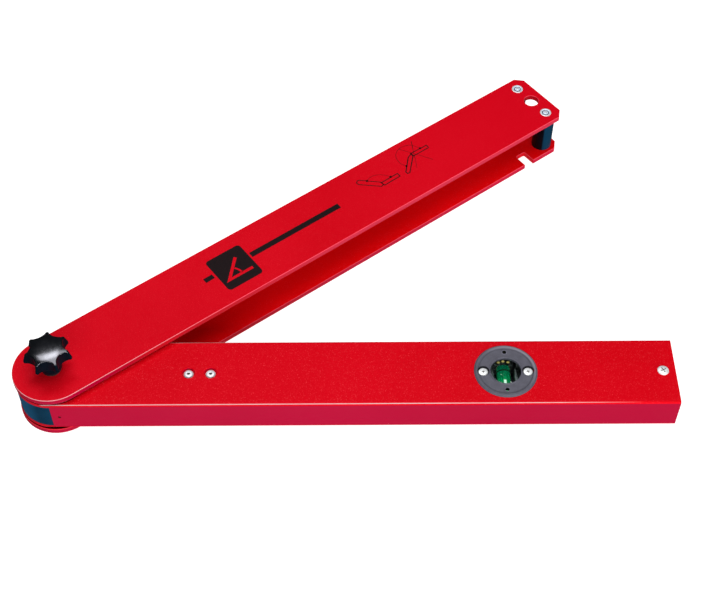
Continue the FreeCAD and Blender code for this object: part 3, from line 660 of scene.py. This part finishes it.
# ---- star knob: seven scalloped lobes, domed top, flared underside --------
def star_knob():
    zk, phase = 44.0, math.radians(95.7)
    R, rt, cs, rs, e = 18.9, 1.5, 19.43, 6.93, 0.60
    dl = math.pi / 7
    line, norm = [], []
    for k in range(7):
        a = phase + 2 * dl * k
        tc = ((R - rt) * math.cos(a), (R - rt) * math.sin(a))
        sc0 = (cs * math.cos(a - dl), cs * math.sin(a - dl))
        sc1 = (cs * math.cos(a + dl), cs * math.sin(a + dl))
        b0 = math.atan2(sc0[1] - tc[1], sc0[0] - tc[0])
        b1 = math.atan2(sc1[1] - tc[1], sc1[0] - tc[0])
        while b1 < b0:
            b1 += 2 * math.pi
        for i in range(11):
            t = b0 + (b1 - b0) * i / 10
            line.append((tc[0] + rt * math.cos(t), tc[1] + rt * math.sin(t)))
            norm.append((math.cos(t), math.sin(t)))
        c0 = math.atan2(tc[1] - sc1[1], tc[0] - sc1[0])
        nt = ((R - rt) * math.cos(a + 2 * dl), (R - rt) * math.sin(a + 2 * dl))
        c1 = math.atan2(nt[1] - sc1[1], nt[0] - sc1[0])
        while c1 > c0:
            c1 -= 2 * math.pi
        if c0 - c1 > math.pi:
            c1 += 2 * math.pi
        for i in range(1, 28):
            t = c0 + (c1 - c0) * i / 28
            line.append((sc1[0] + rs * math.cos(t), sc1[1] + rs * math.sin(t)))
            norm.append((-math.cos(t), -math.sin(t)))

    def top(r):
        return zk + 26.68 - 0.00473 * r * r - 0.00001477 * r ** 4

    def under(r):
        tab = [(0.0, 12.8), (8.6, 12.8), (12.5, 14.0), (18.1, 15.75), (18.65, 16.1), (18.9, 16.7)]
        for (r0, z0), (r1, z1) in zip(tab, tab[1:]):
            if r <= r1:
                return zk + z0 + (z1 - z0) * (r - r0) / (r1 - r0)
        return zk + 16.7

    def leaned(s, grow):
        # the wall leans in by 2 mm at each tip between the foot and the rim
        ring = []
        for (x, y), (nx, ny) in zip(line, norm):
            h = math.hypot(x, y)
            t = min(1.0, max(0.0, (h - 12.5) / 6.4))
            k = 1.0 - 2.0 * t * t * (3 - 2 * t) * s / h
            ring.append((x * k + nx * grow, y * k + ny * grow))
        return ring

    n = len(line)
    rings = []
    for hr, hz in ((7.7, 1.65), (8.2, 2.15), (8.3, 6.0), (8.45, 10.0), (8.6, 12.8)):
        rings.append([(hr * x / math.hypot(x, y), hr * y / math.hypot(x, y), zk + hz) for x, y in line])
    inner = [(x - nx * e, y - ny * e) for (x, y), (nx, ny) in zip(line, norm)]
    for i in range(1, 7):
        s = i / 6
        ring = []
        for x, y in inner:
            h = math.hypot(x, y)
            r = 8.6 + (h - 8.6) * s
            ring.append((x / h * r, y / h * r, under(r)))
        rings.append(ring)
    for i in range(1, 5):
        t = math.radians(22.5 * i)
        rings.append([(x - nx * e * (1 - math.sin(t)), y - ny * e * (1 - math.sin(t)),
                       under(math.hypot(x, y)) + e * (1 - math.cos(t))) for (x, y), (nx, ny) in zip(line, norm)])
    rim = leaned(1.0, 0.0)
    for i in range(1, 8):
        s = i / 8
        foot = [under(math.hypot(x, y)) + e for x, y in line]
        brow = [top(math.hypot(x, y)) - e for x, y in rim]
        rings.append([(x, y, f * (1 - s) + b * s) for (x, y), f, b in zip(leaned(s, 0.0), foot, brow)])
    for i in range(0, 7):
        t = math.radians(15.0 * i)
        rings.append([(x, y, top(math.hypot(x, y)) - e * (1 - math.sin(t)))
                      for x, y in leaned(1.0, -e * (1 - math.cos(t)))])
    crown = leaned(1.0, -e)
    for i in range(1, 26):
        s = 1 - i / 26
        rings.append([(x * s, y * s, top(math.hypot(x, y) * s)) for x, y in crown])
    verts, faces = [], []
    for ring in rings:
        verts += ring
    for i in range(len(rings) - 1):
        for k in range(n):
            k1 = (k + 1) % n
            faces.append((i * n + k, i * n + k1, (i + 1) * n + k1, (i + 1) * n + k))
    c_top = len(verts)
    verts.append((0.0, 0.0, top(0.0)))
    c_bot = len(verts)
    verts.append((0.0, 0.0, zk + 1.65))
    last = (len(rings) - 1) * n
    for k in range(n):
        k1 = (k + 1) % n
        faces.append((last + k, last + k1, c_top))
        faces.append((k1, k, c_bot))
    o = mesh_object("star_knob_moulded", verts, faces, BLACK, "star_knob", 50.0, (KNOB_SIDE_REFLECTION,))
    # painted reflection: faces turned away from the top take the petrol-tinted copy
    for f in o.data.polygons:
        if f.normal.z < 0.30:
            f.material_index = 1
    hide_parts("star_knob")
    return o


star_knob()

# ---- rivets and screws -----------------------------------------------------
post_spots = [turn(490.5, sy * 19.0) for sy in (-1, 1)]
o = lathes("post_rivet_heads", [(0, 44.42), (1.05, 44.42), (1.4, 44.30), (1.75, 43.98), (2.9, 43.92), (3.45, 44.10), (3.9, 44.34),
                                (4.5, 44.36), (4.85, 44.22), (5.0, 44.0), (2.4, 44.0), (2.4, 31.0), (0, 31.0)],
           post_spots, ALU, "outer_arm", slots=(ALU_GROOVE_SHADE,))
# painted shade: the groove ring of each head takes the shaded aluminium copy
for f in o.data.polygons:
    c = f.center
    d = min(math.hypot(c.x - x * MM, c.y - y * MM) for x, y in post_spots)
    if 0.0015 < d < 0.0037 and c.z > 0.0430:
        f.material_index = 1
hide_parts("post_rivets_top")

arm_spots = [(104.0, 0.0), (121.0, 0.0)]
o = lathes("block_rivet_heads", [(0, 34.6), (0.95, 34.6), (1.05, 35.85), (1.35, 36.15), (2.4, 36.2), (3.2, 35.95), (3.7, 35.5),
                                 (3.85, 35.1), (2.4, 35.1), (2.4, 26.1), (0, 26.1)],
           arm_spots, ALU, "inner_arm", slots=(STEEL_AND_RECESS_SHADE,))
for f in o.data.polygons:
    c = f.center
    if min(math.hypot(c.x - x * MM, c.y - y * MM) for x, y in arm_spots) < 0.0010 and c.z > 0.034:
        f.material_index = 1
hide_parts("block_rivets_top")


def cross_screw(name, spots, prof, zt, arm, half_w, depth, turn_deg, replaces, body):
    """Screw with a sunk cross: the recess is cut, so that its walls are real, and they are painted dark steel as
    painted shade.
    """
    o = lathes(name, prof, spots, ZINC, body, slots=(STEEL_AND_RECESS_SHADE,))
    cut_v, cut_f = [], []
    for cx, cy in spots:
        for q in (0, 90):
            a = math.radians(turn_deg + q)
            ux, uy = math.cos(a), math.sin(a)
            poly = []
            for sx, sy in ((-1, -1), (1, -1), (1, 1), (-1, 1)):
                w = half_w * (0.995 if q else 1.0)
                poly.append((cx + sx * arm * ux - sy * w * uy, cy + sx * arm * uy + sy * w * ux))
            v, f = prism_parts(poly, zt - depth * (0.98 if q else 1.0), zt + 1.0, len(cut_v))
            cut_v += v
            cut_f += f
        # the two bars overlap, so each is cut in turn below
    cutters = []
    for i in range(len(cut_f) // 6):
        vs = cut_v[i * 8:(i + 1) * 8]
        fs = [tuple(k - i * 8 for k in f) for f in cut_f[i * 6:(i + 1) * 6]]
        me = bpy.data.meshes.new("tmp_cut")
        me.from_pydata([(x * MM, y * MM, z * MM) for x, y, z in vs], [], fs)
        me.materials.append(STEEL_AND_RECESS_SHADE)
        c = bpy.data.objects.new("tmp_cut", me)
        scene.collection.objects.link(c)
        cutters.append(c)
    for c in cutters:
        m = o.modifiers.new("cut", "BOOLEAN")
        m.operation, m.solver, m.object = "DIFFERENCE", "EXACT", c
        m.material_mode = "TRANSFER"
    bpy.context.view_layer.update()
    dg = bpy.context.evaluated_depsgraph_get()
    new = bpy.data.meshes.new_from_object(o.evaluated_get(dg), depsgraph=dg)
    o.modifiers.clear()
    o.data = new
    new.name = name
    for c in cutters:
        me = c.data
        bpy.data.objects.remove(c)
        bpy.data.meshes.remove(me)
    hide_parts(replaces)
    return o


cross_screw("bezel_screw_heads", [(348.7 - 17.3, 0.0), (348.7 + 17.3, 0.0)],
            [(0, 36.72), (2.9, 36.68), (3.4, 36.5), (3.65, 36.2), (3.65, 35.4), (1.4, 35.4), (1.4, 24.0), (0, 24.0)],
            36.72, 1.25, 0.30, 0.9, 20.0, "bezel_screws_top", "inner_arm")
cross_screw("end_screw_head", [(470.2, 0.0)],
            [(0, 38.1), (2.8, 38.04), (3.8, 37.8), (4.3, 37.4), (4.45, 37.0), (2.4, 37.0), (2.4, 21.0), (0, 21.0)],
            38.1, 2.5, 0.36, 0.8, 28.0, "end_screw", "inner_arm")

# ---- grey housing: fine lips round the window and the two holes ------
def ring_parts(prof, cx, cy, n, base):
    """Closed ring from a closed (r, z) outline."""
    verts, faces = [], []
    m = len(prof)
    for r, z in prof:
        for k in range(n):
            t = 2 * math.pi * k / n
            verts.append((cx + r * math.cos(t), cy + r * math.sin(t), z))
    for i in range(m):
        i1 = (i + 1) % m
        for k in range(n):
            k1 = (k + 1) % n
            faces.append((base + i * n + k, base + i1 * n + k, base + i1 * n + k1, base + i * n + k1))
    return verts, faces


verts, faces = ring_parts([(11.95, 38.0), (12.25, 38.16), (12.55, 38.0), (12.55, 37.70), (11.95, 37.70)], 348.7, 0.0, 144, 0)
for sy in (-1, 1):
    v, f = ring_parts([(1.68, 37.70), (1.68, 37.98), (1.9, 38.06), (2.15, 37.98), (2.15, 37.70)], 348.7, sy * 17.6, 48, len(verts))
    verts += v
    faces += f
# painted highlight: the lips take a lit copy of the bezel grey, 1.75 times brighter
LIP_LIT = grey_bezel("grey_lip_lit", 1.75, False)
o = mesh_object("bezel_lips", verts, faces, LIP_LIT, "inner_arm", 40.0)

# ---- print on the outer arm -----------------------------------------------
Z0, Z1 = 43.97, 44.035


def printed(name, parts, z0=Z0, z1=Z1, mat=None):
    verts, faces = [], []
    for kind, pts, w in parts:
        pts = [turn(x, y) for x, y in pts]
        if kind == "fill":
            v, f = prism_parts(pts, z0, z1, len(verts))
        else:
            v, f = ribbon_parts(pts, w, z0, z1, len(verts), kind == "loop")
        verts += v
        faces += f
    o = mesh_object(name, verts, faces, mat or MARK, "outer_arm")
    return o


printed("print_bar", [("fill", [(186.2, -0.7), (276.5, -0.5), (276.5, 4.9), (186.2, 4.6)], 0),
                      ("fill", [(141.0, -0.9), (149.6, -0.6), (149.3, 4.0), (140.8, 3.8)], 0)])
printed("print_square", [("fill", rounded(151.4, 184.6, -19.0, 17.6, 3.2), 0)])
sym = arc_pts(157.5, -9.5, 13.0, 3.0, 38.0, 10)
printed("print_square_symbol", [("line", [(180.5, -9.6), (157.5, -9.6), (174.6, 7.6)], 2.6), ("line", sym, 1.6)],
        44.02, 44.05, RED)
printed("print_figures", [
    ("loop", [(303.9, 14.2), (306.0, 15.6), (307.6, 15.2), (321.1, 2.2), (321.2, -1.2), (318.6, -2.0), (304.2, 11.4)], 0.75),
    ("loop", [(320.9, 1.5), (338.6, 1.8), (338.5, -2.0), (321.6, -2.5)], 0.85),
    ("loop", [(362.5, 13.7), (379.9, 13.3), (379.6, 9.9), (362.2, 9.8)], 0.85),
    ("loop", [(362.8, 13.1), (357.9, 11.1), (345.5, -1.2), (345.6, -3.4), (347.6, -4.0), (363.0, 10.6)], 0.85),
    ("fill", arc_pts(312.4, 10.5, 1.15, 0, 345, 15), 0), ("fill", arc_pts(331.7, 2.2, 1.15, 0, 345, 15), 0),
    ("fill", arc_pts(350.3, 3.9, 1.05, 0, 345, 15), 0), ("fill", arc_pts(373.2, 13.6, 1.15, 0, 345, 15), 0),
    ("line", [(372.2, 24.8), (367.9, 17.2)], 0.55)])
printed("print_figures_thin", [
    ("line", smooth_path([(312.4, 10.5), (316.3, 12.0), (321.1, 11.9), (326.5, 9.1), (331.7, 2.6)]), 0.30),
    ("line", smooth_path([(350.3, 3.9), (348.3, 9.0), (348.7, 15.1), (351.6, 20.5), (357.6, 24.0), (363.6, 24.1), (369.2, 21.4),
                          (373.2, 13.8)]), 0.34),
    ("line", [(367.9, 17.2), (356.1, -3.6)], 0.34), ("line", [(357.8, 23.9), (373.6, -3.6)], 0.34)])

# --------------------------------------------------------------------------
# Floor: a pale, evenly lit table that curves up far away
# --------------------------------------------------------------------------
def make_floor():
    me = bpy.data.meshes.new("floor")
    bm = bmesh.new()
    prof = [(0.0, 0.0), (2.5, 0.0)]
    for i in range(1, 13):
        a = math.pi / 2 * i / 12 * 0.75
        prof.append((2.5 + 1.2 * math.sin(a), 1.2 * (1 - math.cos(a))))
    n = 72
    centre = bm.verts.new((0, 0, 0))
    prev = None
    for r, z in prof[1:]:
        ring = [bm.verts.new((r * math.cos(2 * math.pi * k / n), r * math.sin(2 * math.pi * k / n), z)) for k in range(n)]
        for k in range(n):
            if prev is None:
                bm.faces.new((centre, ring[k], ring[(k + 1) % n]))
            else:
                bm.faces.new((prev[k], ring[k], ring[(k + 1) % n], prev[(k + 1) % n]))
        prev = ring
    bm.normal_update()
    bm.to_mesh(me)
    bm.free()
    o = bpy.data.objects.new("floor", me)
    scene.collection.objects.link(o)
    o.location = (0.2, 0.1, -0.0003)
    p = Mat("floor", base=(0.4, 0.4, 0.4), rough=0.9, spec=0.0)
    p.to("Base Color", p.ramp(p.noise(14.0, 3.0, 0.5), [(0.3, (0.39, 0.39, 0.39)), (0.7, (0.42, 0.42, 0.42))]))
    p.set("Emission Color", (1, 1, 1, 1))
    p.set("Emission Strength", 0.88)
    me.materials.append(p.m)
    o.visible_glossy = False
    return o


make_floor()
